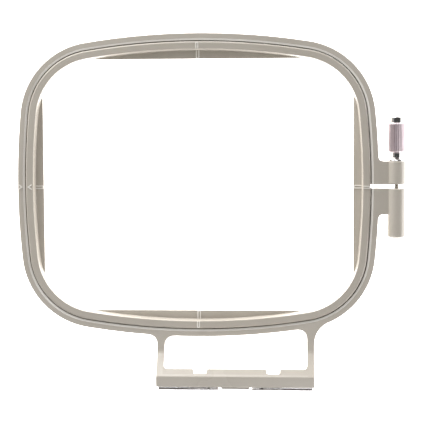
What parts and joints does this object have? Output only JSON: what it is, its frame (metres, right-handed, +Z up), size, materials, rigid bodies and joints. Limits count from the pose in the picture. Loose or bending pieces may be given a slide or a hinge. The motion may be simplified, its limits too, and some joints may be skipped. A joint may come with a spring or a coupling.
{
  "type": "machine embroidery hoop",
  "caption": "Rounded-rectangle machine embroidery hoop: split outer ring with knurled clamp screw and raised connector bar, and a lift-out inner ring with recessed webs.",
  "frame": {"origin": "bottom centre of the hoop's bounding box as it lies flat on a table", "axes": "+Z up through the rings, towards the side the needle comes from; +X to the side with the clamp screw; -Y to the side with the connector bar"},
  "size_m": [0.3422, 0.3134, 0.027],
  "materials": {
    "frame_plastic": "satin warm grey moulding",
    "ring_plastic": "satin warm grey moulding",
    "screw_steel": "polished nickel plate",
    "knob_plating": "knurled, dull plated",
    "insert_brass": "turned",
    "runner_steel": "bright bent sheet"
  },
  "bodies": {
    "frame": {"outer_frame": "frame_plastic", "thread_insert": "insert_brass", "runner_left": "runner_steel", "runner_right": "runner_steel", "runner_screw_1": "screw_steel", "runner_screw_2": "screw_steel", "runner_screw_3": "screw_steel", "runner_screw_4": "screw_steel"},
    "inner": {"inner_ring": "ring_plastic"},
    "washer": {"cup_washer": "screw_steel"},
    "screw": {"clamp_screw": "screw_steel", "knob_sleeve": "knob_plating"}
  },
  "joints": [
    {"name": "inner_ring_lift", "type": "slide", "parent": "frame", "child": "inner", "axis": [0, 0, 1], "range_m": [0, 0.03]},
    {"name": "screw_travel", "type": "slide", "parent": "frame", "child": "washer", "axis": [0, 1, 0], "range_m": [0, 0.0056]},
    {"name": "screw_turn", "type": "hinge", "parent": "washer", "child": "screw", "pos_m": [0.16342, 0.04695, 0.0077], "axis": [0, 1, 0], "range_deg": [0, 2880]}
  ],
  "couplings": [
    {"joint": "screw_turn", "follows": "screw_travel", "rad_per_m": 8976}
  ]
}
